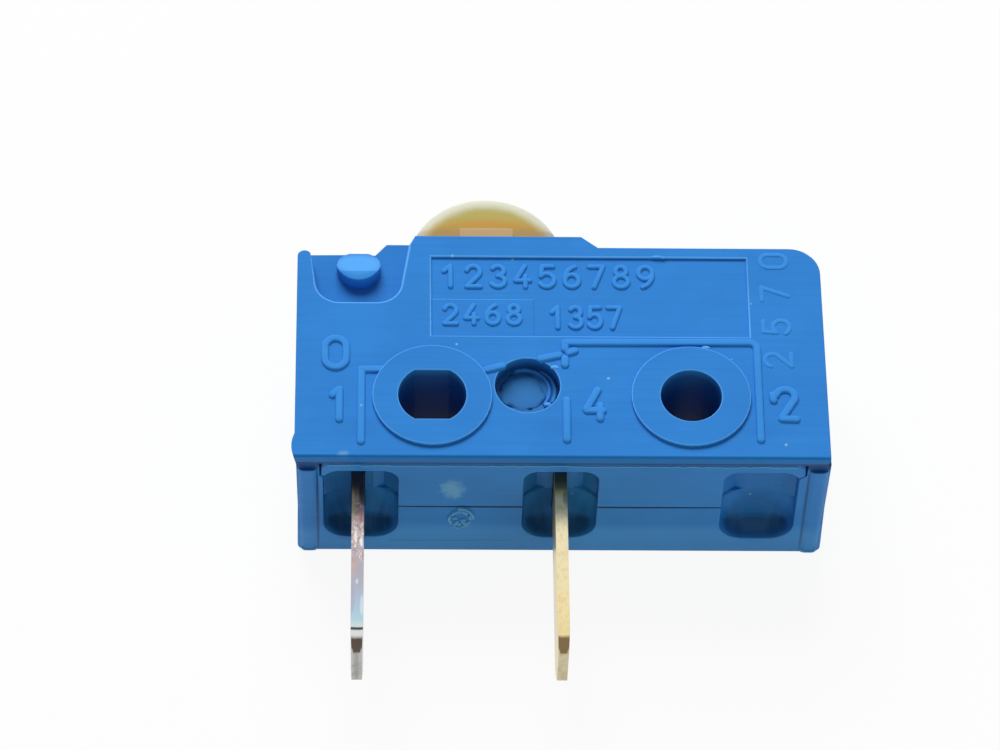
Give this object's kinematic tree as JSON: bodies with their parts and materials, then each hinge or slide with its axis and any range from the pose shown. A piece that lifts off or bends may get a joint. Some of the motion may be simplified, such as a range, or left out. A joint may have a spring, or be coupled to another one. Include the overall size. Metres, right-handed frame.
{
  "type": "subminiature snap-action switch",
  "caption": "Flat moulded micro switch with a rounded plunger, two blade tabs, a lever stud, a round and a flattened mounting hole, and a sprung contact arm inside.",
  "frame": {"origin": "on the axis of the round mounting hole, at the back face that the switch lies on", "axes": "+X along the housing towards the empty pocket, +Y the way the plunger points, +Z out of the front face"},
  "size_m": [0.0197, 0.0195, 0.0066],
  "materials": {
    "base": "satin moulded blue plastic",
    "cover": "satin moulded blue plastic",
    "plunger": "smooth cream plastic",
    "common_tab": "silver plate, tarnished",
    "make_tab": "rolled brass",
    "contacts": "silver alloy",
    "contact_arm": "rolled copper alloy",
    "springs": "drawn spring wire"
  },
  "bodies": {
    "housing": {"base": "base", "cover": "cover", "common_tab": "common_tab", "make_tab": "make_tab", "fixed_contact": "contacts", "return_spring": "springs"},
    "plunger": {"plunger": "plunger", "snap_spring": "springs"},
    "arm": {"contact_arm": "contact_arm", "moving_contact": "contacts"}
  },
  "joints": [
    {"name": "plunger_press", "type": "slide", "parent": "housing", "child": "plunger", "axis": [0, -1, 0], "range_m": [0, 0.0016], "stiffness_N_per_m": 800, "springref_m": -0.0008, "deforming": ["return_spring", "snap_spring"]},
    {"name": "arm_rock", "type": "hinge", "parent": "housing", "child": "arm", "pos_m": [-0.01188, 0.0026, 0.0029], "axis": [0, 0, -1], "range_deg": [0, 3.65]}
  ],
  "couplings": [
    {"joint": "arm_rock", "follows": "plunger_press", "rad_per_m": 39.8}
  ]
}
